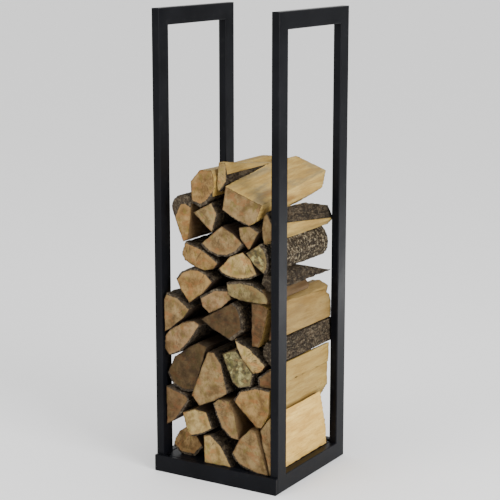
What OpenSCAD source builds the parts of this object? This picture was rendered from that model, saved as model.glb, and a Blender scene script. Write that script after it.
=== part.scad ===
// Firewood log rack: two welded side frames of flat steel tube, joined at the floor by a flat bar
// across the front, a rear rail and a folded tray that is bolted to them from below. A pile of
// split logs lies in it, their ends to the front.
// +Z is up, -Y is the front, and the origin is the centre of the footprint on the floor.

/* [Frame] */
// Height of the rack
rack_h = 1100; // [800:10:1500]
// Width over the two side frames
rack_w = 336; // [280:1:400]
// Depth of a side frame, front to back
frame_d = 325; // [270:1:450]

/* [Tube] */
// Wide face of the frame tube, seen from the side
tube_w = 40; // [32:1:50]
// Thin face of the frame tube, seen from the front
tube_t = 20; // [16:1:30]
// Wall of the frame tube
tube_wall = 1.5; // [1:0.1:2.4]
// Outside corner radius of the frame tube
tube_r = 2.6; // [2.5:0.1:5]

/* [Base] */
// Thickness of the flat bar across the front
bar_t = 8; // [7:0.5:12]
// Radius on the flat bar's ends and long edges
bar_r = 2; // [0.5:0.5:3]
// Sheet thickness of the tray
tray_t = 2; // [1.5:0.5:3]
// Depth of the tray's turned-down flanges
flange_h = 30; // [26:1:30]
// Outside radius of the tray's bends
bend_r = 3.5; // [3.2:0.1:5]
// Square relief cut at each corner of the tray
relief = 14; // [8:1:24]

/* [Fasteners] */
// Radius of the screw thread
screw_r = 3; // [2.5:0.5:4]
// Radius of the screw head
head_r = 5.3; // [4.5:0.1:7]
// Height of the screw head
head_h = 3.3; // [2:0.1:5]
// Length of the screws into the weld nuts
screw_l = 14; // [12:1:16]
// Length of the screws into the front bar
bar_screw_l = 7; // [6:0.5:8]
// Width of the weld nuts across their flats
nut_w = 10; // [8:0.5:14]
// Thickness of the weld nuts
nut_h = 5; // [3:0.5:7]
// Distance of the side screws from the tray's front and back edges
side_inset = 60; // [30:1:110]
// Distance of the front and rear screws from the tray's side edges
end_inset = 70; // [30:1:110]

/* [Logs] */
// Length of the longest log
log_l = 290; // [230:1:330]
// Gap that is left where one log rests on another
rest_gap = 0.4; // [0.3:0.1:1]
// Rise of the top log's sloping split face along its length
top_rise = 45; // [20:1:80]

/* [Hidden] */
$fn = 48;
slip = 0.3;                         // clearance of a screw in its hole
thread_gap = 0.05;                  // clearance of a screw in its nut
inner_w = rack_w - 2 * tube_t;      // clear width between the side frames
front_y = -(frame_d - bar_t) / 2;   // front faces of the posts
back_y = front_y + frame_d;         // back faces of the posts
tray_back = back_y - tube_t;        // front face of the rear rail
screw_z = tube_w / 2;               // screws sit at mid height of the rails
outline_w = 296;                    // clear width that the log outlines are drawn for
pile_scale = inner_w / outline_w;
settle = 1.035;                     // stretch upward that makes up for the outlines' own gaps
lift = 15;                          // each log is lowered from this much above its outline
arc_steps = 5;                      // straight pieces in a barked, rounded edge

steel = [0.13, 0.13, 0.14];
zinc = [0.72, 0.73, 0.75];
wood = [0.76, 0.60, 0.41];

// One log a row: its front end's distance behind the posts' front faces, how much shorter it is
// than log_l, and its end outline, counterclockwise. A point is [across, up] from the floor's left
// end. A third number is the height of the barked, rounded edge that starts there.
LOGS = [
    [26, 8, [[10, 18], [30, 0], [70, 0], [95, 26], [76, 54], [50, 70], [30, 58, 3]]],
    [4, 14, [[112, 0], [190, 0], [162, 48], [132, 70], [112, 65]]],
    [2, 0, [[188, 34, 3], [214, 8], [244, 0], [288, 0], [268, 64], [256, 100], [240, 102], [212, 74]]],
    [6, 20, [[290, 0], [294, 0], [294, 138], [280, 123], [264, 100], [270, 66]]],
    [8, 20, [[60, 72], [76, 62], [110, 74], [135, 90], [120, 127], [84, 129], [48, 116]]],
    [3, 10, [[146, 120], [160, 91], [184, 72], [209, 70], [198, 129], [182, 158], [152, 158], [137, 146]]],
    [10, 6, [[2, 80], [20, 90], [46, 114], [68, 146, 4], [52, 164], [24, 171], [2, 172]]],
    [2, 8, [[194, 162], [226, 131], [254, 106], [268, 106], [291, 145], [293, 200], [255, 202], [212, 188]]],
    [5, 0, [[78, 154], [99, 132], [140, 150], [180, 174], [161, 238], [140, 262], [120, 262], [104, 226]]],
    [12, 16, [[3, 206], [20, 180], [50, 168], [78, 172], [101, 232], [118, 284], [92, 291], [66, 276], [24, 248]]],
    [4, 8, [[176, 236], [190, 204], [208, 192], [240, 199], [246, 230], [222, 257], [200, 280], [164, 266]]],
    [8, 14, [[258, 206], [294, 204], [294, 250], [284, 248], [257, 226]]],
    [2, 12, [[222, 259], [248, 233], [268, 240], [281, 257], [240, 292], [198, 308], [206, 286]]],
    [14, 2, [[268, 276], [288, 254], [294, 258], [294, 312], [276, 312], [266, 300]]],
    [24, 22, [[276, 316], [279, 313], [294, 316], [294, 426], [289, 400], [281, 350]]],
    [4, 10, [[2, 260], [15, 246], [44, 258], [72, 284], [106, 331], [86, 338], [56, 332], [20, 311], [2, 294]]],
    [6, 14, [[104, 346], [138, 326], [186, 305], [219, 331], [216, 362], [207, 388], [193, 396], [153, 374]]],
    [8, 2, [[238, 297], [257, 297], [269, 323], [279, 360], [286, 388], [263, 398], [240, 396]]],
    [3, 8, [[3, 304], [20, 314], [58, 344], [77, 369], [42, 393], [11, 398], [3, 380]]],
    [10, 6, [[99, 392], [106, 368], [124, 355], [158, 372], [186, 396], [172, 417], [137, 414]]],
    [5, 12, [[48, 407], [71, 380], [112, 409], [140, 440, 27], [34, 434]]],
    [2, 96, [[180, 412], [212, 404], [262, 402], [284, 403], [287, 412], [270, 435], [248, 446], [212, 448], [177, 441]]],
    [7, 8, [[148, 464], [160, 455, 12], [257, 463], [239, 497], [218, 512], [183, 498]]],
    [16, 0, [[262, 446], [278, 430], [294, 430], [294, 461], [287, 467], [266, 467]]],
    [3, 8, [[227, 515], [249, 490], [279, 470, 16], [268, 541]]],
    [8, 16, [[49, 495], [60, 482], [79, 474], [115, 464], [137, 470], [153, 487, 7], [60, 526]]],
    [4, 6, [[104, 530, 30], [222, 540], [194, 562], [163, 576]]],
    [6, 12, [[211, 553], [234, 528], [262, 573], [241, 584], [207, 578]]],
    [10, 0, [[266, 566], [271, 532], [279, 530], [294, 546], [294, 582], [291, 598], [284, 606], [275, 602], [268, 588]]],
    [9, 10, [[26, 602], [54, 534], [70, 542], [77, 600], [80, 636, 16], [22, 616]]],
    [5, 8, [[84, 604], [138, 562], [153, 606], [138, 633]]],
    [3, 4, [[166, 614], [205, 595], [236, 586], [256, 598], [270, 634], [278, 676], [198, 704], [178, 696]]],
    [4, 10, [[82, 626], [106, 620], [124, 628], [140, 646], [143, 664], [143, 690], [136, 705], [104, 703], [79, 676]]],
    [12, 4, [[144, 676], [147, 664], [155, 660], [175, 684], [175, 702], [168, 727], [150, 726]]],
];
TOP_LOG = 31;                       // the row of the log whose top is the sloping split face

RACK_NODES = [
    "left_front_post", "left_rear_post", "left_top_rail", "left_bottom_rail",
    "right_front_post", "right_rear_post", "right_top_rail", "right_bottom_rail",
    "front_base_bar", "rear_base_rail", "floor_tray", "tray_screws", "weld_nuts",
];

function log_name(i) = str("log_", i < 9 ? "0" : "", i + 1);

// ---- The pile: each outline is rounded where it has bark, then lowered onto what lies below ----

// Points of a circular edge from a to b that stands out by h, without b
function rounded_edge(a, b, h) =
    let (
        chord = norm(b - a),
        along = (b - a) / chord,
        out = [along[1], -along[0]],
        half = 2 * atan(2 * h / chord),
        r = chord / (2 * sin(half))
    )
    [for (s = [0 : arc_steps - 1])
        let (t = -half + 2 * half * s / arc_steps)
        (a + b) / 2 + along * r * sin(t) + out * r * (cos(t) - cos(half))];

function flat(p) = [p[0], p[1]];

function outline(rows) =
    [for (k = [0 : len(rows) - 1])
        let (a = rows[k], b = rows[(k + 1) % len(rows)])
        each len(a) == 2 ? [flat(a)] : rounded_edge(flat(a), flat(b), a[2])];

// Height of the edge a-b at x, or undef where the edge doesn't pass over x
function height_at(a, b, x) =
    (x - a[0]) * (x - b[0]) > 0 || a[0] == b[0] ? undef
    : a[1] + (b[1] - a[1]) * (x - a[0]) / (b[0] - a[0]);

// Heights at which a vertical line at x crosses an outline
function crossings(shape, x) =
    [for (k = [0 : len(shape) - 1])
        let (h = height_at(shape[k], shape[(k + 1) % len(shape)], x))
        if (h != undef) h];

// How far the upper outline can fall before it meets the lower one
function fall(upper, lower) =
    min(concat(
        [1000],
        [for (p = upper) each [for (h = crossings(lower, p[0])) if (h <= p[1]) p[1] - h]],
        [for (q = lower) each [for (h = crossings(upper, q[0])) if (h >= q[1]) h - q[1]]]
    ));

function raised(shape, h) = [for (p = shape) [p[0], p[1] + h]];

function stretched(shape) = [for (p = shape) [p[0], p[1] * settle] * pile_scale];

function lowest(shape) = min([for (p = shape) p[1]]);

// All the outlines in their places, each resting on the floor or on the logs before it
function pile(placed = []) =
    len(placed) == len(LOGS) ? placed
    : let (
        start = raised(stretched(outline(LOGS[len(placed)][2])), lift * pile_scale),
        drop = min(concat([lowest(start)], [for (below = placed) fall(start, below) - rest_gap]))
    )
    pile(concat(placed, [raised(start, -drop)]));

PILE = pile();

// ---- Shared shapes ----

module rounded_rect(w, h, r) {
    for (x = [r, w - r]) {
        for (y = [r, h - r]) {
            translate([x, y]) circle(r);
        }
    }
    translate([r, 0]) square([w - 2 * r, h]);
    translate([0, r]) square([w, h - 2 * r]);
}

module tube_section(across, deep) {
    difference() {
        rounded_rect(across, deep, tube_r);
        translate([tube_wall, tube_wall]) {
            rounded_rect(across - 2 * tube_wall, deep - 2 * tube_wall, tube_r - tube_wall);
        }
    }
}

// Tube standing on z = 0, thin face along X and wide face along Y
module upright_tube(length) {
    linear_extrude(length) tube_section(tube_t, tube_w);
}

// Tube lying along +Y from y = 0, thin face along X and wide face along Z
module level_tube(length) {
    translate([0, length, 0]) rotate([90, 0, 0]) linear_extrude(length) tube_section(tube_t, tube_w);
}

// Keeps what lies inside an outline in the side frame's own plane, across its whole thickness
module mitre(points) {
    intersection() {
        children();
        translate([-1, 0, 0]) rotate([90, 0, 90]) linear_extrude(tube_t + 2) polygon(points);
    }
}

// Moves a side frame's piece from x = 0..tube_t, y = 0..frame_d to its side of the rack
module on_side(side) {
    if (side > 0) {
        translate([rack_w / 2 - tube_t, front_y, 0]) children();
    } else {
        mirror([1, 0, 0]) translate([rack_w / 2 - tube_t, front_y, 0]) children();
    }
}

// Places of the screws in one side rail, along the frame
function side_screw_y() = [side_inset, tray_back - front_y - side_inset];

// ---- Side frames ----

module front_post(side) {
    color(steel) on_side(side) {
        mitre([[0, 0], [tube_w, tube_w], [tube_w, rack_h - tube_w], [0, rack_h]]) upright_tube(rack_h);
    }
}

module rear_post(side) {
    color(steel) on_side(side) {
        mitre([[frame_d, 0], [frame_d, rack_h], [frame_d - tube_w, rack_h - tube_w], [frame_d - tube_w, tube_w]]) {
            translate([0, frame_d - tube_w, 0]) upright_tube(rack_h);
        }
    }
}

module top_rail(side) {
    color(steel) on_side(side) {
        mitre([[0, rack_h], [tube_w, rack_h - tube_w], [frame_d - tube_w, rack_h - tube_w], [frame_d, rack_h]]) {
            translate([0, 0, rack_h - tube_w]) level_tube(frame_d);
        }
    }
}

module bottom_rail(side) {
    color(steel) on_side(side) {
        difference() {
            mitre([[0, 0], [frame_d, 0], [frame_d - tube_w, tube_w], [tube_w, tube_w]]) level_tube(frame_d);
            for (y = side_screw_y()) {
                translate([-1, y, screw_z]) rotate([0, 90, 0]) cylinder(r = screw_r + slip, h = tube_wall + 2);
            }
        }
    }
}

// ---- Base ----

module front_base_bar() {
    color(steel) difference() {
        translate([-rack_w / 2, front_y - bar_t, 0]) {
            rotate([90, 0, 0]) translate([0, 0, -bar_t]) linear_extrude(bar_t) {
                rounded_rect(rack_w, tube_w, bar_r);
            }
        }
        for (x = [-1, 1] * (inner_w / 2 - end_inset)) {
            translate([x, front_y + 1, screw_z]) rotate([90, 0, 0]) {
                cylinder(r = screw_r + thread_gap, h = bar_screw_l - tray_t + slip + 1);
            }
        }
    }
}

module rear_base_rail() {
    color(steel) difference() {
        translate([-inner_w / 2, back_y, 0]) rotate([90, 0, 90]) mirror([1, 0, 0]) {
            linear_extrude(inner_w) tube_section(tube_t, tube_w);
        }
        for (x = [-1, 1] * (inner_w / 2 - end_inset)) {
            translate([x, tray_back + tube_wall + 1, screw_z]) rotate([90, 0, 0]) {
                cylinder(r = screw_r + slip, h = tube_wall + 2);
            }
        }
    }
}

// Sheet with both edges turned down, as a section: the sheet's top is y = 0 and it is w wide
module folded_section(w) {
    difference() {
        union() {
            translate([0, -flange_h]) square([w, flange_h - bend_r]);
            translate([bend_r, -2 * bend_r]) square([w - 2 * bend_r, 2 * bend_r]);
            for (x = [bend_r, w - bend_r]) {
                translate([x, -bend_r]) circle(bend_r);
            }
        }
        translate([tray_t, -flange_h - 1]) square([w - 2 * tray_t, flange_h + 1 - bend_r]);
        translate([bend_r, -2 * bend_r]) square([w - 2 * bend_r, 2 * bend_r - tray_t]);
        for (x = [bend_r, w - bend_r]) {
            translate([x, -bend_r]) circle(bend_r - tray_t);
        }
    }
}

module floor_tray() {
    tray_d = tray_back - front_y;
    color(steel) difference() {
        union() {
            translate([-inner_w / 2, tray_back - relief, tube_w]) rotate([90, 0, 0]) {
                linear_extrude(tray_d - 2 * relief) folded_section(inner_w);
            }
            translate([-inner_w / 2 + relief, front_y, tube_w]) rotate([90, 0, 90]) {
                linear_extrude(inner_w - 2 * relief) folded_section(tray_d);
            }
        }
        for (y = side_screw_y()) {
            translate([-inner_w / 2 - 1, front_y + y, screw_z]) rotate([0, 90, 0]) {
                cylinder(r = screw_r + slip, h = inner_w + 2);
            }
        }
        for (x = [-1, 1] * (inner_w / 2 - end_inset)) {
            translate([x, tray_back + 1, screw_z]) rotate([90, 0, 0]) {
                cylinder(r = screw_r + slip, h = tray_d + 2);
            }
        }
    }
}

// ---- Fasteners ----

// Button-head screw along +X, its head's seat at x = 0
module screw(length) {
    rotate([0, 90, 0]) difference() {
        union() {
            cylinder(r = screw_r, h = length);
            translate([0, 0, -head_h]) cylinder(r = head_r, h = head_h);
        }
        translate([0, 0, -head_h - 1]) cylinder(r = screw_r * 0.75, h = head_h * 0.6 + 1, $fn = 6);
    }
}

module weld_nut() {
    rotate([0, 90, 0]) difference() {
        cylinder(d = nut_w / cos(30), h = nut_h, $fn = 6);
        translate([0, 0, -1]) cylinder(r = screw_r + thread_gap, h = nut_h + 2);
    }
}

module tray_screws() {
    color(zinc) {
        for (y = side_screw_y()) {
            translate([inner_w / 2 - tray_t, front_y + y, screw_z]) screw(screw_l);
            translate([-inner_w / 2 + tray_t, front_y + y, screw_z]) mirror([1, 0, 0]) screw(screw_l);
        }
        for (x = [-1, 1] * (inner_w / 2 - end_inset)) {
            translate([x, tray_back - tray_t, screw_z]) rotate([0, 0, 90]) screw(screw_l);
            translate([x, front_y + tray_t, screw_z]) rotate([0, 0, -90]) screw(bar_screw_l);
        }
    }
}

module weld_nuts() {
    color(zinc) {
        for (y = side_screw_y()) {
            translate([inner_w / 2 + tube_wall, front_y + y, screw_z]) weld_nut();
            translate([-inner_w / 2 - tube_wall, front_y + y, screw_z]) mirror([1, 0, 0]) weld_nut();
        }
        for (x = [-1, 1] * (inner_w / 2 - end_inset)) {
            translate([x, tray_back + tube_wall, screw_z]) rotate([0, 0, 90]) weld_nut();
        }
    }
}

// ---- Logs ----

// What the top log's sloping split face removes. The face passes just under the two upper corners
// of the log's outline at its back end, and is top_rise lower at its front end.
module above_split_face() {
    right = PILE[TOP_LOG][5];
    left = PILE[TOP_LOG][6];
    roll = atan2(left[1] - right[1], right[0] - left[0]);
    pitch = atan(top_rise / log_l);
    reach = 2 * log_l;
    translate([left[0] - inner_w / 2, front_y + LOGS[TOP_LOG][0], tube_w + left[1] - top_rise]) {
        rotate([pitch, 0, 0]) rotate([0, roll, 0]) {
            translate([-reach / 2, -reach / 2, 0]) cube([reach, 2 * reach, reach]);
        }
    }
}

module log_body(i) {
    setback = LOGS[i][0];
    length = log_l - LOGS[i][1];
    translate([-inner_w / 2, front_y + setback + length, tube_w]) rotate([90, 0, 0]) {
        linear_extrude(length) polygon(PILE[i]);
    }
}

module split_log(i) {
    color(wood) {
        if (i == TOP_LOG) {
            difference() {
                log_body(i);
                above_split_face();
            }
        } else {
            log_body(i);
        }
    }
}

front_post(-1);  // left_front_post
rear_post(-1);  // left_rear_post
top_rail(-1);  // left_top_rail
bottom_rail(-1);  // left_bottom_rail
front_post(1);  // right_front_post
rear_post(1);  // right_rear_post
top_rail(1);  // right_top_rail
bottom_rail(1);  // right_bottom_rail
front_base_bar();
rear_base_rail();
floor_tray();
tray_screws();
weld_nuts();
for (i = [0 : len(LOGS) - 1]) {
    split_log(i);
}
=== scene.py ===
import math

import bmesh
import bpy
from bpy.props import BoolProperty, FloatProperty, FloatVectorProperty, PointerProperty
from mathutils import Matrix, Vector, noise


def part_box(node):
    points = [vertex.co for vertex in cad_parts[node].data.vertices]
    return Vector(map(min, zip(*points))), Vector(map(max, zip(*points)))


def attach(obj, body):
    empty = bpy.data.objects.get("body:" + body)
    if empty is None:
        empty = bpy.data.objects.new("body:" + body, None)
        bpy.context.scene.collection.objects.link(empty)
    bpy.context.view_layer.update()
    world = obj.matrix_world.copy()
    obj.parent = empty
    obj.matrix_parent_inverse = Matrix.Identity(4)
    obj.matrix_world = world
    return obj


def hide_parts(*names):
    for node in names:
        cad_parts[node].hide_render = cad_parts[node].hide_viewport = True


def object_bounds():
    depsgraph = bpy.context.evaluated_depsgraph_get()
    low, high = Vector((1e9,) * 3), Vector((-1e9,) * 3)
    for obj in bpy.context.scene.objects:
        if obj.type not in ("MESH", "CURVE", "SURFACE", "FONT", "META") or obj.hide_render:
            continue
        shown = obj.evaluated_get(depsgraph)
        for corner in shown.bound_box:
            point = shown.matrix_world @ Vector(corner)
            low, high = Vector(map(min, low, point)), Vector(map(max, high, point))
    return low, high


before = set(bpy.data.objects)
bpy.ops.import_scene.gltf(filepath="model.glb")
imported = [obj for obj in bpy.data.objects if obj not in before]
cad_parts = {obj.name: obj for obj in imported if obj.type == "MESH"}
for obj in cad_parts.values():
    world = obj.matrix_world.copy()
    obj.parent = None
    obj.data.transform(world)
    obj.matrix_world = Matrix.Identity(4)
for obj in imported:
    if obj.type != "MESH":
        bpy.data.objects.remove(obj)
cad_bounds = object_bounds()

bl_info = {
    "name": "Firewood Log Rack",
    "version": (1, 0, 0),
    "blender": (4, 5, 0),
    "location": "View3D > Sidebar > Log Rack",
    "description": "Builds the split logs, coats the steel rack and sets the studio",
    "category": "Object",
}

MM = 0.001

STEEL_NODES = (
    "left_front_post", "left_rear_post", "left_top_rail", "left_bottom_rail",
    "right_front_post", "right_rear_post", "right_top_rail", "right_bottom_rail",
    "front_base_bar", "rear_base_rail", "floor_tray",
)
ZINC_NODES = ("tray_screws", "weld_nuts")

END, SPLIT, BARK = 0, 1, 2          # a log's material slots

# Wood colours: sawn ends first, then the split faces.
TAN = (0.166, 0.113, 0.048)
BISCUIT = (0.256, 0.184, 0.072)
HONEY = (0.194, 0.122, 0.044)
RUSSET = (0.150, 0.094, 0.036)
ROSE = (0.180, 0.118, 0.054)
OLIVE = (0.140, 0.108, 0.044)
FAWN = (0.205, 0.150, 0.066)
UMBER = (0.098, 0.060, 0.025)
PEAT = (0.050, 0.031, 0.011)
MOSS = (0.118, 0.100, 0.042)
PALE = (0.680, 0.450, 0.122)
WHEAT = (0.430, 0.300, 0.092)
STRAW = (0.345, 0.240, 0.070)
BUFF = (0.255, 0.170, 0.052)
# Near-black: painted shade of the gaps between logs on the split faces; also the end colour of log_14 and log_24
DARK_GAP_SHADE = (0.028, 0.016, 0.008)
LEFT_FACE_UNSHADED = (0.170, 0.112, 0.044)   # split faces that look left are at least this light, without the painted gap shade of the darker split colours


class Wood:
    """How one log looks: the colours of its sawn ends and split faces, where its bark is and how thick."""

    def __init__(self, end, side=DARK_GAP_SHADE, bark=None, reach=0, rim=5.0, lichen=0.15, grey=0.2, chops=()):
        self.end = end              # colour of the sawn ends
        self.side = side            # colour of the split faces; the near-black one is painted shade of the gaps between logs
        self.bark = bark            # direction the bark faces, in degrees: 0 is right and 90 is up
        self.reach = reach          # how far round from there the bark goes, in degrees
        self.rim = rim * MM         # how thick the bark shows on the ends
        self.lichen = lichen        # how much pale lichen grows on the bark
        self.grey = grey            # how weathered the split faces are
        self.chops = chops          # corners split off at the back: point and direction of each cut


LOG_WOODS = {
    "log_01": Wood(RUSSET, DARK_GAP_SHADE, 250, 75, rim=6),
    "log_02": Wood(BISCUIT, DARK_GAP_SHADE, 40, 60, rim=4),
    "log_03": Wood(TAN, UMBER, 215, 50, rim=5),
    "log_04": Wood(TAN, PALE, grey=0.05, chops=[((0.146, 0.093, 0.153), (0, 1.0, 0.32))]),
    "log_05": Wood(BISCUIT, DARK_GAP_SHADE, 350, 60, rim=4),
    # log_06's dark brown split faces are painted shadow on its right side
    "log_06": Wood(TAN, UMBER, 200, 60, rim=4),
    "log_07": Wood(UMBER, DARK_GAP_SHADE, 20, 60, rim=6),
    "log_08": Wood(HONEY, STRAW, 100, 50, rim=5, grey=0.3),
    "log_09": Wood(TAN, DARK_GAP_SHADE, 40, 40, rim=4),
    "log_10": Wood(PEAT, DARK_GAP_SHADE, 230, 65, rim=6),
    "log_11": Wood(MOSS, DARK_GAP_SHADE, 300, 50, rim=3, lichen=1.0),
    "log_12": Wood(UMBER, STRAW, 170, 50, grey=0.1),
    "log_13": Wood(BISCUIT, DARK_GAP_SHADE, 30, 45, rim=4),
    "log_14": Wood(DARK_GAP_SHADE, DARK_GAP_SHADE, 0, 180, rim=30, lichen=0.35),
    "log_15": Wood(UMBER, BUFF, grey=0.6, chops=[((0.146, 0.030, 0.472), (0, 0.57, 1.0)),
                                                 ((0.146, -0.074, 0.420), (0.96, 0.03, 0.28))]),
    "log_16": Wood(ROSE, DARK_GAP_SHADE, 310, 60, rim=4),
    "log_17": Wood(PEAT, DARK_GAP_SHADE, 5, 65, rim=8, lichen=0.3),
    "log_18": Wood(UMBER, BUFF, 20, 20, rim=5, grey=0.2),
    "log_19": Wood(TAN, DARK_GAP_SHADE, 60, 55, rim=6),
    "log_20": Wood(ROSE, DARK_GAP_SHADE, 120, 70, rim=6),
    "log_21": Wood(HONEY, DARK_GAP_SHADE, 90, 65, rim=5),
    "log_22": Wood(OLIVE, UMBER, 85, 45, rim=6),
    "log_23": Wood(BISCUIT, DARK_GAP_SHADE, 265, 65, rim=5),
    "log_24": Wood(DARK_GAP_SHADE, DARK_GAP_SHADE, 0, 180, rim=30, chops=[((0.146, 0.004, 0.509), (0, 0.28, 1.0))]),
    "log_25": Wood(OLIVE, UMBER, 350, 80, rim=7, lichen=1.0),
    "log_26": Wood(HONEY, DARK_GAP_SHADE, 60, 50, rim=5),
    "log_27": Wood(TAN, DARK_GAP_SHADE, 270, 65, rim=6),
    "log_28": Wood(TAN, DARK_GAP_SHADE, 40, 50, rim=4),
    "log_29": Wood(TAN, STRAW, 80, 66, rim=5, grey=0.1, chops=[((0.146, -0.076, 0.623), (0.88, 0.05, 0.47)),
                                                              ((0.146, 0.020, 0.655), (0, 0.22, 1.0))]),
    "log_30": Wood(HONEY, UMBER, 105, 62, rim=22, lichen=0.3),
    "log_31": Wood(FAWN, DARK_GAP_SHADE, 330, 60, rim=4),
    "log_32": Wood(TAN, WHEAT, 235, 30, rim=3, grey=0.75, chops=[((0.108, -0.155, 0.634), (0.63, 0.10, -1.0))]),
    "log_33": Wood(HONEY, STRAW, 285, 55, rim=8, grey=0.5),
    "log_34": Wood(BISCUIT, STRAW, 320, 55, rim=5, grey=0.5, chops=[((0.0, -0.146, 0.760), (0, 0.13, 1.0))]),
}


# ---- Shader helpers --------------------------------------------------------------------------

class Shader:
    """A node material under construction. Each method adds one node and returns its output."""

    def __init__(self, name):
        self.material = bpy.data.materials.new(name)
        self.material.use_nodes = True
        self.tree = self.material.node_tree
        self.surface = self.tree.nodes["Principled BSDF"]

    def add(self, kind, **settings):
        made = self.tree.nodes.new(kind)
        for key, value in settings.items():
            setattr(made, key, value)
        return made

    def feed(self, socket, value):
        if isinstance(value, bpy.types.NodeSocket):
            self.tree.links.new(value, socket)
        else:
            socket.default_value = value

    def place(self, scale=(1, 1, 1)):
        """Object coordinates, stretched by scale."""
        mapping = self.add("ShaderNodeMapping")
        self.feed(mapping.inputs["Vector"], self.add("ShaderNodeTexCoord").outputs["Object"])
        self.feed(mapping.inputs["Scale"], scale)
        return mapping.outputs["Vector"]

    def attribute(self, name, output="Vector"):
        return self.add("ShaderNodeAttribute", attribute_name=name).outputs[output]

    def stretch(self, vector, scale):
        mapping = self.add("ShaderNodeMapping")
        self.feed(mapping.inputs["Vector"], vector)
        self.feed(mapping.inputs["Scale"], scale)
        return mapping.outputs["Vector"]

    def noise(self, vector, scale, detail=3.0, roughness=0.55, distortion=0.0):
        made = self.add("ShaderNodeTexNoise")
        self.feed(made.inputs["Vector"], vector)
        self.feed(made.inputs["Scale"], scale)
        self.feed(made.inputs["Detail"], detail)
        self.feed(made.inputs["Roughness"], roughness)
        self.feed(made.inputs["Distortion"], distortion)
        return made.outputs["Fac"]

    def cells(self, vector, scale, feature="F1", randomness=1.0):
        made = self.add("ShaderNodeTexVoronoi", feature=feature)
        self.feed(made.inputs["Vector"], vector)
        self.feed(made.inputs["Scale"], scale)
        self.feed(made.inputs["Randomness"], randomness)
        return made.outputs["Distance"]

    def math(self, operation, a, b=0.0, clamp=False):
        made = self.add("ShaderNodeMath", operation=operation, use_clamp=clamp)
        self.feed(made.inputs[0], a)
        self.feed(made.inputs[1], b)
        return made.outputs[0]

    def remap(self, value, low, high, out_low=0.0, out_high=1.0):
        made = self.add("ShaderNodeMapRange")
        for name, number in (("From Min", low), ("From Max", high), ("To Min", out_low), ("To Max", out_high)):
            self.feed(made.inputs[name], number)
        self.feed(made.inputs["Value"], value)
        return made.outputs["Result"]

    def mix(self, amount, a, b, blend="MIX"):
        made = self.add("ShaderNodeMix", data_type="RGBA", blend_type=blend)
        self.feed(made.inputs[0], amount)
        for socket, value in ((made.inputs[6], a), (made.inputs[7], b)):
            self.feed(socket, (*value, 1.0) if isinstance(value, (tuple, list)) and len(value) == 3 else value)
        return made.outputs[2]

    def bump(self, height, distance, strength=1.0, under=None):
        made = self.add("ShaderNodeBump")
        self.feed(made.inputs["Height"], height)
        self.feed(made.inputs["Distance"], distance)
        self.feed(made.inputs["Strength"], strength)
        if under is not None:
            self.feed(made.inputs["Normal"], under)
        return made.outputs["Normal"]

    def finish(self, **sockets):
        for name, value in sockets.items():
            socket = self.surface.inputs[name.replace("_", " ")]
            self.feed(socket, (*value, 1.0) if isinstance(value, tuple) and len(value) == 3 else value)
        return self.material


def powder_coat(colour, roughness):
    """Satin black powder coat with a fine orange peel."""
    s = Shader("powder_coat")
    place = s.place()
    peel = s.noise(place, 700.0, 2.0)
    cloud = s.noise(place, 6.0, 4.0)
    dust = s.noise(place, 45.0, 4.0, 0.7)
    tone = s.mix(s.remap(cloud, 0.35, 0.65), tuple(0.75 * c for c in colour), tuple(1.3 * c for c in colour))
    tone = s.mix(s.remap(dust, 0.58, 0.80, 0.0, 0.25), tone, (0.030, 0.029, 0.028))
    rough = s.remap(s.math("ADD", cloud, s.math("MULTIPLY", dust, 0.3)), 0.5, 0.8, roughness - 0.05, roughness + 0.08)
    return s.finish(Base_Color=tone, Roughness=rough, Specular_IOR_Level=0.07,
                    Normal=s.bump(peel, 0.15 * MM, 0.30))


def zinc_plate(colour):
    """Bright zinc with a faint spangle."""
    s = Shader("zinc_plate")
    place = s.place()
    patch = s.noise(place, 320.0, 3.0)
    tone = s.mix(s.remap(patch, 0.3, 0.7), tuple(0.7 * c for c in colour), colour)
    return s.finish(Base_Color=tone, Metallic=1.0, Roughness=s.remap(patch, 0.3, 0.7, 0.3, 0.5),
                    Normal=s.bump(patch, 0.1 * MM, 0.3))


def bark_colour(s, grain, lichen):
    """Mottled grey-brown bark and its height, for the bark itself and for its rim on the sawn ends."""
    long = s.stretch(grain, (1, 0.35, 1))
    ridge = s.noise(long, 95.0, 4.0, 0.6, 0.6)
    fissure = s.remap(s.math("ABSOLUTE", s.math("SUBTRACT", ridge, 0.5)), 0.0, 0.055, 1.0, 0.0)
    rough = s.noise(grain, 260.0, 4.0, 0.7)
    blotch = s.noise(grain, 30.0, 3.0, 0.6)
    tone = s.mix(s.remap(blotch, 0.35, 0.65), (0.018, 0.012, 0.006), (0.048, 0.033, 0.019))
    tone = s.mix(s.remap(rough, 0.50, 0.68, 0.0, 0.6), tone, (0.092, 0.070, 0.042))
    speck = s.math("MULTIPLY", s.remap(s.noise(grain, 150.0, 3.0, 0.6), 0.48, 0.60), lichen)
    tone = s.mix(s.math("MULTIPLY", speck, 0.80), tone, (0.235, 0.194, 0.125))
    tone = s.mix(s.math("MULTIPLY", fissure, 0.85), tone, (0.014, 0.009, 0.006))
    height = s.math("ADD", s.math("MULTIPLY", fissure, -1.0), s.math("MULTIPLY", rough, 0.7))
    return tone, height


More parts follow.
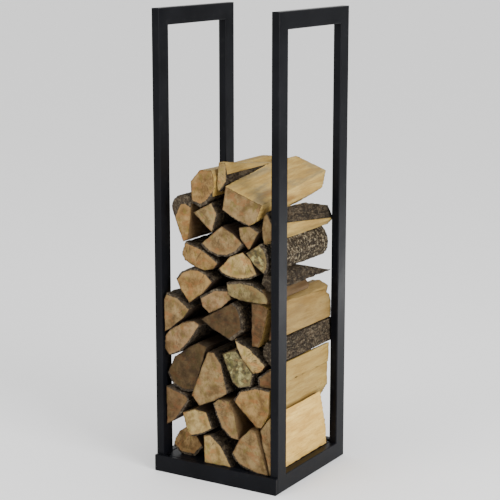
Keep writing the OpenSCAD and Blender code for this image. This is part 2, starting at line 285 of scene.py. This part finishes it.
def end_grain(ring):
    """Sawn end of a log: growth rings round the pith, rays and drying cracks out of it, saw marks."""
    s = Shader("end_grain")
    grain = s.attribute("grain")
    wood = s.attribute("end_colour", "Color")
    rim = s.attribute("rim", "Fac")
    edge = s.attribute("edge", "Fac")
    split = s.add("ShaderNodeSeparateXYZ")
    s.feed(split.inputs[0], grain)
    flat = s.stretch(grain, (1, 0.02, 1))
    radius = s.add("ShaderNodeVectorMath", operation="LENGTH")
    s.feed(radius.inputs[0], s.stretch(grain, (1, 0, 1)))
    angle = s.math("ARCTAN2", split.outputs["Z"], split.outputs["X"])
    wobble = s.math("MULTIPLY", s.noise(flat, 28.0, 2.0), 4.0 * MM)
    turns = s.math("DIVIDE", s.math("ADD", radius.outputs["Value"], wobble), ring)
    late = s.math("POWER", s.math("FRACT", turns), 3.0)
    around = s.add("ShaderNodeCombineXYZ")
    s.feed(around.inputs[0], angle)
    s.feed(around.inputs[1], s.math("MULTIPLY", radius.outputs["Value"], 2.0))
    rays = s.noise(around.outputs[0], 46.0, 3.0, 0.7)
    crack = s.noise(around.outputs[0], 9.0, 2.0, 0.5)
    crack_line = s.remap(s.math("ABSOLUTE", s.math("SUBTRACT", crack, 0.5)), 0.0, 0.014, 1.0, 0.0)
    crack_line = s.math("MULTIPLY", crack_line, s.remap(s.noise(flat, 17.0, 1.0), 0.50, 0.60))
    blotch = s.noise(flat, 38.0, 4.0, 0.65)
    stain = s.noise(s.stretch(flat, (1.3, 1, 0.8)), 56.0, 3.0, 0.6)
    flush = s.noise(s.stretch(flat, (0.8, 1, 1.3)), 44.0, 3.0, 0.6)
    speckle = s.noise(flat, 210.0, 3.0, 0.7)
    pale = s.mix(1.0, wood, (1.42, 1.42, 1.48), "MULTIPLY")
    dark = s.mix(1.0, wood, (0.58, 0.50, 0.40), "MULTIPLY")
    tone = s.mix(s.remap(blotch, 0.38, 0.62), dark, pale)
    tone = s.mix(s.remap(stain, 0.52, 0.66, 0.0, 0.75), tone, s.mix(1.0, wood, (0.66, 0.74, 0.36), "MULTIPLY"))
    tone = s.mix(s.remap(flush, 0.53, 0.66, 0.0, 0.70), tone, s.mix(1.0, wood, (1.20, 0.76, 0.62), "MULTIPLY"))
    tone = s.mix(s.math("MULTIPLY", late, 0.28), tone, s.mix(1.0, wood, (0.55, 0.42, 0.30), "MULTIPLY"))
    tone = s.mix(s.remap(rays, 0.56, 0.75, 0.0, 0.30), tone, pale)
    tone = s.mix(s.remap(speckle, 0.60, 0.72, 0.0, 0.55), tone, s.mix(1.0, wood, (0.35, 0.26, 0.20), "MULTIPLY"))
    moss = s.attribute("lichen", "Fac")
    patch = s.math("MULTIPLY", s.remap(s.noise(flat, 92.0, 4.0, 0.7), 0.47, 0.58), s.remap(moss, 0.3, 1.0))
    tone = s.mix(s.math("MULTIPLY", patch, 0.85), tone, (0.040, 0.034, 0.015))
    bloom = s.math("MULTIPLY", s.remap(s.noise(flat, 74.0, 3.0, 0.6), 0.54, 0.66), s.remap(moss, 0.3, 1.0))
    tone = s.mix(s.math("MULTIPLY", bloom, 0.70), tone, (0.330, 0.300, 0.120))
    sap = s.remap(s.math("ADD", rim, s.math("MULTIPLY", blotch, 8.0 * MM)), 6.0 * MM, 14.0 * MM, 0.55, 0.0)
    tone = s.mix(sap, tone, s.mix(1.0, wood, (1.30, 1.18, 1.15), "MULTIPLY"))
    tone = s.mix(s.math("MULTIPLY", crack_line, 0.85), tone, (0.022, 0.012, 0.007))
    # Painted shade: the sawn end darkens towards its outline, standing in for the shade of the gaps between logs
    outline_shade = s.math("ADD", edge, s.math("MULTIPLY", s.math("SUBTRACT", speckle, 0.5), 6.0 * MM))
    tone = s.mix(s.remap(outline_shade, 0.3 * MM, 3.4 * MM, 0.75, 0.0), tone, s.mix(1.0, wood, (0.20, 0.15, 0.12), "MULTIPLY"))
    bark, bark_height = bark_colour(s, grain, 0.4)
    barked = s.remap(s.math("ADD", rim, s.math("MULTIPLY", s.math("SUBTRACT", speckle, 0.5), 7.0 * MM)),
                     -0.4 * MM, 0.8 * MM, 1.0, 0.0)
    tone = s.mix(barked, tone, bark)
    saw = s.noise(s.stretch(grain, (1.0, 1.0, 14.0)), 60.0, 2.0)
    height = s.math("SUBTRACT", s.math("MULTIPLY", saw, 0.5), crack_line)
    height = s.math("ADD", height, s.math("MULTIPLY", s.math("MULTIPLY", barked, bark_height), 1.5))
    fibre = s.noise(flat, 700.0, 3.0)
    normal = s.bump(height, 1.2 * MM, 0.7, s.bump(fibre, 0.6 * MM, 0.5))
    return s.finish(Base_Color=tone, Roughness=0.80, Specular_IOR_Level=0.20, Normal=normal)


def split_face():
    """Torn faces that run with the grain: long fibres, pale and darker bands, grey where weathered."""
    s = Shader("split_face")
    grain = s.attribute("grain")
    wood = s.attribute("side_colour", "Color")
    grey = s.attribute("weathered", "Fac")
    edge = s.attribute("edge", "Fac")
    fibre = s.noise(s.stretch(grain, (1, 0.05, 1)), 420.0, 4.0, 0.65)
    band = s.noise(s.stretch(grain, (1, 0.12, 1)), 62.0, 4.0, 0.6, 0.5)
    blotch = s.noise(s.stretch(grain, (1, 0.5, 1)), 22.0, 4.0, 0.65)
    fleck = s.noise(s.stretch(grain, (1, 0.4, 1)), 120.0, 3.0, 0.65)
    pale = s.mix(1.0, wood, (1.12, 1.12, 1.12), "MULTIPLY")
    dark = s.mix(1.0, wood, (0.80, 0.72, 0.60), "MULTIPLY")
    tone = s.mix(s.remap(band, 0.38, 0.60), dark, pale)
    tone = s.mix(s.remap(blotch, 0.50, 0.68, 0.0, 0.60), tone, s.mix(1.0, wood, (0.72, 0.62, 0.42), "MULTIPLY"))
    tone = s.mix(s.remap(fleck, 0.56, 0.70, 0.0, 0.50), tone, s.mix(1.0, wood, (0.62, 0.50, 0.34), "MULTIPLY"))
    tone = s.mix(s.remap(fibre, 0.46, 0.30, 0.0, 0.35), tone, s.mix(1.0, wood, (0.40, 0.30, 0.22), "MULTIPLY"))
    knots = s.cells(s.stretch(grain, (1, 0.45, 1)), 11.0)
    knot = s.remap(s.math("ADD", knots, s.math("MULTIPLY", band, 0.10)), 0.13, 0.24, 1.0, 0.0)
    tone = s.mix(s.math("MULTIPLY", knot, 0.75), tone, s.mix(1.0, wood, (0.38, 0.22, 0.12), "MULTIPLY"))
    weather = s.math("MULTIPLY", s.remap(s.noise(s.stretch(grain, (1, 0.3, 1)), 24.0, 4.0, 0.6), 0.46, 0.60), grey)
    tone = s.mix(weather, tone, (0.160, 0.138, 0.084))
    worn = s.remap(s.math("ADD", edge, s.math("MULTIPLY", fibre, 5.0 * MM)), 2.5 * MM, 5.0 * MM, 0.30, 0.0)
    tone = s.mix(worn, tone, s.mix(1.0, wood, (0.45, 0.36, 0.28), "MULTIPLY"))
    normal = s.bump(fibre, 1.3 * MM, 0.8, s.bump(band, 3.0 * MM, 0.8))
    return s.finish(Base_Color=tone, Roughness=0.76, Specular_IOR_Level=0.22, Normal=normal)


def rough_bark():
    """Dry bark: grey ridges with dark fissures between them, and pale flecks of lichen."""
    s = Shader("rough_bark")
    tone, height = bark_colour(s, s.attribute("grain"), s.attribute("lichen", "Fac"))
    return s.finish(Base_Color=tone, Roughness=0.92, Specular_IOR_Level=0.15, Normal=s.bump(height, 3.5 * MM, 0.9))


# ---- Log modelling ---------------------------------------------------------------------------

def slice_up(bm, axis, step):
    """Cuts the whole mesh with planes across one axis, step apart, so that its faces can take relief."""
    low = min(v.co[axis] for v in bm.verts)
    high = max(v.co[axis] for v in bm.verts)
    normal = Vector((0, 0, 0))
    normal[axis] = 1.0
    count = max(1, round((high - low) / step))
    for k in range(1, count):
        point = Vector((0, 0, 0))
        point[axis] = low + (high - low) * k / count
        bmesh.ops.bisect_plane(bm, geom=bm.verts[:] + bm.edges[:] + bm.faces[:], plane_co=point,
                               plane_no=normal, dist=1e-6)


def facing(direction):
    """Unit vector across the log at that angle, 0 to the right and 90 up."""
    return Vector((math.cos(math.radians(direction)), 0, math.sin(math.radians(direction))))


def bare_prism(name):
    """The CAD log as a bmesh of a few whole faces, in place."""
    bm = bmesh.new()
    bm.from_mesh(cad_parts[name].data)
    bmesh.ops.remove_doubles(bm, verts=bm.verts[:], dist=1e-6)
    bmesh.ops.dissolve_limit(bm, angle_limit=math.radians(1), verts=bm.verts[:], edges=bm.edges[:])
    bm.normal_update()
    return bm


def chop(bm, cuts):
    """Splits the corner beyond each cut off the log."""
    for place, out in cuts:
        bmesh.ops.bisect_plane(bm, geom=bm.verts[:] + bm.edges[:] + bm.faces[:], plane_co=place,
                               plane_no=Vector(out).normalized(), dist=1e-6, clear_outer=True)
        bmesh.ops.holes_fill(bm, edges=[e for e in bm.edges if e.is_boundary])
        bm.normal_update()


def mark_faces(bm, wood):
    """Gives each face its material: sawn end, bark, or split."""
    for face in bm.faces:
        if abs(face.normal.y) > 0.9:
            face.material_index = END
        elif wood.bark is not None and face.normal.angle(facing(wood.bark)) < math.radians(wood.reach):
            face.material_index = BARK
        else:
            face.material_index = SPLIT
        face.smooth = True


def face_planes(bm, kinds):
    """Where the faces of those materials lie, as (point, outward normal) pairs."""
    return [(f.verts[0].co.copy(), f.normal.copy()) for f in bm.faces if f.material_index in kinds]


def depth_under(point, planes):
    """How far a point lies inside the nearest of the planes."""
    return max(0.0, min(((at - point).dot(out) for at, out in planes), default=1.0))


def split_relief(p, seed):
    """How deep a split face lies under the log's outline at p: torn fibres and slow waves."""
    torn = noise.noise(Vector((p.x * 95, p.y * 7, p.z * 95 + seed)))
    fine = noise.noise(Vector((p.x * 260, p.y * 16 + seed, p.z * 260)))
    wave = noise.noise(Vector((p.x * 20 + seed, p.y * 8, p.z * 20)))
    return (0.5 + 1.2 * torn + 0.7 * fine + 1.4 * wave) * MM


def bark_relief(p, seed):
    """How deep the bark lies under the log's outline at p: ridges with fissures between them."""
    ridge = noise.noise(Vector((p.x * 90 + seed, p.y * 32, p.z * 90)))
    fissure = max(0.0, 1.0 - abs(ridge) / 0.22)
    rough = noise.noise(Vector((p.x * 190, p.y * 130, p.z * 190 + seed)))
    lump = noise.noise(Vector((p.x * 34, p.y * 20 + seed, p.z * 34)))
    return (0.3 + 1.8 * fissure + 1.0 * rough + 1.2 * lump) * MM


def end_relief(p, seed):
    """How deep a sawn end lies behind the log's length at p."""
    step = noise.noise(Vector((p.x * 26 + seed, 0, p.z * 26)))
    fine = noise.noise(Vector((p.x * 120, seed, p.z * 120)))
    return (0.6 + 0.9 * step + 0.4 * fine) * MM


def shape_relief(bm, seed, lean):
    """Moves every vertex inward by its faces' relief, and leans the sawn ends a little off square."""
    middle = sum((v.co for v in bm.verts), Vector()) / len(bm.verts)
    moves = []
    for v in bm.verts:
        kinds = {f.material_index for f in v.link_faces}
        move = Vector((0, 0, 0))
        side = Vector((0, 0, 0))
        for f in v.link_faces:
            if f.material_index != END:
                side += Vector((f.normal.x, 0, f.normal.z))
        if side.length > 1e-6:
            side.normalize()
            depth = bark_relief(v.co, seed) if BARK in kinds else split_relief(v.co, seed)
            move -= side * max(0.0, depth)
        if END in kinds:
            toward = -1.0 if v.co.y < middle.y else 1.0
            slope = lean.x * (v.co.x - middle.x) + lean.z * (v.co.z - middle.z)
            move.y -= toward * max(0.0, end_relief(v.co, seed) + lean.y + slope * toward)
        moves.append(move)
    for v, move in zip(bm.verts, moves):
        v.co += move


def chip_edges(bm, seed):
    """Takes small chips off the long edges where two faces meet at an angle."""
    for v in bm.verts:
        if any(not e.smooth for e in v.link_edges):
            chip = noise.noise(Vector((v.co.x * 40, v.co.y * 60 + seed, v.co.z * 40)))
            v.co -= Vector((v.normal.x, 0, v.normal.z)) * (max(0.0, chip) * 3.0 + 0.2) * MM


def write_attributes(mesh, pith, bark, sides, wood, seed):
    """Stores what the wood materials read: grain coordinates, distances to bark and edge, colours."""
    kinds = {"grain": "FLOAT_VECTOR", "rim": "FLOAT", "edge": "FLOAT", "end_colour": "FLOAT_COLOR",
             "side_colour": "FLOAT_COLOR", "weathered": "FLOAT", "lichen": "FLOAT"}
    for key, kind in kinds.items():
        mesh.attributes.new(key, kind, "POINT")
    data = {key: mesh.attributes[key].data for key in kinds}
    # Split faces that look left keep at least the lighter left-face colour; elsewhere a dark side colour is painted
    # shade of the gaps between logs
    left = tuple(max(pair) for pair in zip(wood.side, LEFT_FACE_UNSHADED))
    for v in mesh.vertices:
        at = v.co - pith
        data["grain"][v.index].vector = (at.x, at.y + seed * 0.37, at.z)
        data["rim"][v.index].value = depth_under(v.co, bark) - wood.rim if bark else 1.0
        data["edge"][v.index].value = depth_under(v.co, sides)
        data["end_colour"][v.index].color = (*wood.end, 1.0)
        data["side_colour"][v.index].color = (*(left if v.normal.x < -0.3 else wood.side), 1.0)
        data["weathered"][v.index].value = wood.grey * (0.15 + 0.85 * min(1.0, 1.5 * max(0.0, v.normal.z)))
        data["lichen"][v.index].value = wood.lichen


def make_log(name, number, wood, materials, sizes):
    """One split log in place of its CAD prism."""
    seed = 3.7 * number
    bm = bare_prism(name)
    chop(bm, wood.chops)
    mark_faces(bm, wood)
    bark = face_planes(bm, (BARK,))
    sides = face_planes(bm, (BARK, SPLIT))
    low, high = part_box(name)
    slice_up(bm, 0, sizes.cross_step)
    slice_up(bm, 2, sizes.cross_step)
    slice_up(bm, 1, sizes.long_step)
    for edge in bm.edges:
        edge.smooth = not (edge.is_manifold and edge.calc_face_angle() > math.radians(22))
    lean = Vector((noise.noise(Vector((seed, 0.5, 0))), 0, noise.noise(Vector((0.5, seed, 0))))) * 0.12
    lean.y = 0.8 * MM
    shape_relief(bm, seed, lean)
    bm.normal_update()
    chip_edges(bm, seed)
    bmesh.ops.triangulate(bm, faces=bm.faces[:])
    mesh = bpy.data.meshes.new("split_" + name)
    bm.to_mesh(mesh)
    bm.free()
    for material in materials:
        mesh.materials.append(material)
    centre = (low + high) / 2
    radius = min(high.x - low.x, high.z - low.z) / 2
    pith = centre - facing(45 * number if wood.bark is None else wood.bark) * (radius + 12 * MM)
    write_attributes(mesh, pith, bark, sides, wood, seed)
    log = bpy.data.objects.new("split_" + name, mesh)
    bpy.context.scene.collection.objects.link(log)
    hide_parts(name)
    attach(log, name)
    return log


def coat(nodes, material):
    for name in nodes:
        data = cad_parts[name].data
        data.materials.clear()
        data.materials.append(material)


# ---- Settings --------------------------------------------------------------------------------

class RackFinish(bpy.types.PropertyGroup):
    """Colours and gloss of the steel rack"""
    coat_colour: FloatVectorProperty(
        name="Powder coat", description="Colour of the steel's powder coat",
        subtype="COLOR", size=3, min=0.0, max=1.0, default=(0.0036, 0.0038, 0.0050))
    coat_roughness: FloatProperty(
        name="Coat roughness", description="How matt the powder coat is",
        subtype="FACTOR", min=0.1, max=0.9, default=0.36)
    zinc_colour: FloatVectorProperty(
        name="Zinc", description="Colour of the plated screws and nuts",
        subtype="COLOR", size=3, min=0.0, max=1.0, default=(0.55, 0.56, 0.58))


class LogSettings(bpy.types.PropertyGroup):
    """Sizes that shape the split logs"""
    cross_step: FloatProperty(
        name="Cross step", description="Mesh spacing across a log",
        subtype="DISTANCE", unit="LENGTH", min=0.001, max=0.02, default=0.0030)
    long_step: FloatProperty(
        name="Long step", description="Mesh spacing along a log",
        subtype="DISTANCE", unit="LENGTH", min=0.002, max=0.05, default=0.005)
    ring_spacing: FloatProperty(
        name="Ring spacing", description="Width of one growth ring",
        subtype="DISTANCE", unit="LENGTH", min=0.001, max=0.01, default=0.0036)


class StudioSettings(bpy.types.PropertyGroup):
    """Camera, floor and light"""
    azimuth: FloatProperty(
        name="Azimuth", description="Direction the camera stands in, from the front towards the right",
        subtype="ANGLE", default=math.radians(31.16))
    tilt: FloatProperty(
        name="Tilt", description="How far the camera looks down",
        subtype="ANGLE", default=math.radians(11.97))
    lens: FloatProperty(
        name="Lens", description="Focal length in millimetres", min=20, max=200, default=109.9)
    floor_colour: FloatVectorProperty(
        name="Floor", description="Colour of the floor",
        subtype="COLOR", size=3, min=0.0, max=1.0, default=(0.90, 0.90, 0.90))


# ---- Operators -------------------------------------------------------------------------------

class LOGRACK_OT_coat_steel(bpy.types.Operator):
    """Gives the tubes, the base bar and the tray their powder coat"""
    bl_idname = "lograck.coat_steel"
    bl_label = "Coat Steel"

    def execute(self, context):
        finish = context.scene.rack_finish
        coat(STEEL_NODES, powder_coat(tuple(finish.coat_colour), finish.coat_roughness))
        return {"FINISHED"}


class LOGRACK_OT_plate_fasteners(bpy.types.Operator):
    """Gives the screws and weld nuts their zinc plate"""
    bl_idname = "lograck.plate_fasteners"
    bl_label = "Plate Fasteners"

    def execute(self, context):
        coat(ZINC_NODES, zinc_plate(tuple(context.scene.rack_finish.zinc_colour)))
        return {"FINISHED"}


class LOGRACK_OT_split_logs(bpy.types.Operator):
    """Builds every split log of the pile"""
    bl_idname = "lograck.split_logs"
    bl_label = "Split Logs"

    def execute(self, context):
        sizes = context.scene.log_settings
        materials = (end_grain(sizes.ring_spacing), split_face(), rough_bark())
        names = sorted(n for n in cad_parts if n.startswith("log_"))
        for number, name in enumerate(names):
            make_log(name, number, LOG_WOODS[name], materials, sizes)
        return {"FINISHED"}


class LOGRACK_OT_set_studio(bpy.types.Operator):
    """Sets the floor, the soft lights and the camera"""
    bl_idname = "lograck.set_studio"
    bl_label = "Set Studio"

    def execute(self, context):
        studio = context.scene.studio_settings
        add_floor(tuple(studio.floor_colour))
        add_lights()
        add_camera(studio)
        return {"FINISHED"}


def add_floor(colour):
    bm = bmesh.new()
    bmesh.ops.create_grid(bm, x_segments=1, y_segments=1, size=60.0)
    mesh = bpy.data.meshes.new("floor")
    bm.to_mesh(mesh)
    bm.free()
    s = Shader("floor_paper")
    mesh.materials.append(s.finish(Base_Color=colour, Roughness=0.9, Specular_IOR_Level=0.1))
    floor = bpy.data.objects.new("floor", mesh)
    bpy.context.scene.collection.objects.link(floor)


def add_area_light(name, place, target, size, power, colour=(1, 1, 1)):
    data = bpy.data.lights.new(name, "AREA")
    data.shape = "RECTANGLE"
    data.size, data.size_y = size
    data.energy = power
    data.color = colour
    light = bpy.data.objects.new(name, data)
    bpy.context.scene.collection.objects.link(light)
    place, target = Vector(place), Vector(target)
    light.matrix_world = Matrix.Translation(place) @ (target - place).to_track_quat("-Z", "Y").to_matrix().to_4x4()
    light.visible_camera = False
    return light


def add_flag():
    """A black card at the back right, out of the camera's sight, that darkens the tops of the side faces."""
    bm = bmesh.new()
    bmesh.ops.create_grid(bm, x_segments=1, y_segments=1, size=0.5)
    turn = Matrix.Rotation(math.pi / 2, 4, "Y")
    bmesh.ops.transform(bm, matrix=Matrix.Translation((1.65, 2.8, 0.90)) @ turn @ Matrix.Diagonal((1.5, 2.0, 1, 1)),
                        verts=bm.verts[:])
    mesh = bpy.data.meshes.new("flag")
    bm.to_mesh(mesh)
    bm.free()
    s = Shader("flag_felt")
    mesh.materials.append(s.finish(Base_Color=(0.004, 0.004, 0.004), Roughness=1.0, Specular_IOR_Level=0.0))
    flag = bpy.data.objects.new("flag", mesh)
    bpy.context.scene.collection.objects.link(flag)
    flag.visible_camera = False
    flag.visible_shadow = False
    flag.visible_diffuse = False


def add_lights():
    world = bpy.data.worlds.new("studio")
    bpy.context.scene.world = world
    world.use_nodes = True
    background = world.node_tree.nodes["Background"]
    background.inputs["Color"].default_value = (1.0, 1.0, 1.0, 1.0)
    background.inputs["Strength"].default_value = 1.35
    add_area_light("side_softbox", (3.2, -1.0, 1.5), (0, 0, 0.40), (1.6, 2.0), 150)
    add_area_light("front_softbox", (-1.4, -3.4, 2.6), (0, 0, 0.45), (2.0, 2.0), 60)
    strip = add_area_light("low_strip", (0.95, 1.40, 0.11), (0.10, 1.40, 0.11), (1.0, 0.18), 6)
    strip.visible_diffuse = False
    add_flag()


def add_camera(studio):
    low, high = (Vector(c) for c in cad_bounds)
    data = bpy.data.cameras.new("camera")
    data.lens = studio.lens
    data.sensor_width = 36.0
    camera = bpy.data.objects.new("camera", data)
    bpy.context.scene.collection.objects.link(camera)
    camera.location = (1.830, -3.030, 1.280)
    camera.rotation_euler = (math.pi / 2 - studio.tilt, 0, studio.azimuth)
    bpy.context.scene.camera = camera


# ---- Panel and registration ------------------------------------------------------------------

class LOGRACK_PT_panel(bpy.types.Panel):
    """Lists the steps that build the rack"""
    bl_label = "Log Rack"
    bl_idname = "LOGRACK_PT_panel"
    bl_space_type = "VIEW_3D"
    bl_region_type = "UI"
    bl_category = "Log Rack"

    def draw(self, context):
        for operator in OPERATORS:
            self.layout.operator(operator.bl_idname)


OPERATORS = (
    LOGRACK_OT_coat_steel,
    LOGRACK_OT_plate_fasteners,
    LOGRACK_OT_split_logs,
    LOGRACK_OT_set_studio,
)
SETTINGS = {"rack_finish": RackFinish, "log_settings": LogSettings, "studio_settings": StudioSettings}
CLASSES = (*SETTINGS.values(), *OPERATORS, LOGRACK_PT_panel)


def register():
    for cls in CLASSES:
        bpy.utils.register_class(cls)
    for name, cls in SETTINGS.items():
        setattr(bpy.types.Scene, name, PointerProperty(type=cls))


def unregister():
    for name in SETTINGS:
        delattr(bpy.types.Scene, name)
    for cls in reversed(CLASSES):
        bpy.utils.unregister_class(cls)


def main():
    register()
    bpy.ops.lograck.coat_steel()
    bpy.ops.lograck.plate_fasteners()
    bpy.ops.lograck.split_logs()
    bpy.ops.lograck.set_studio()


if __name__ == "__main__":
    main()
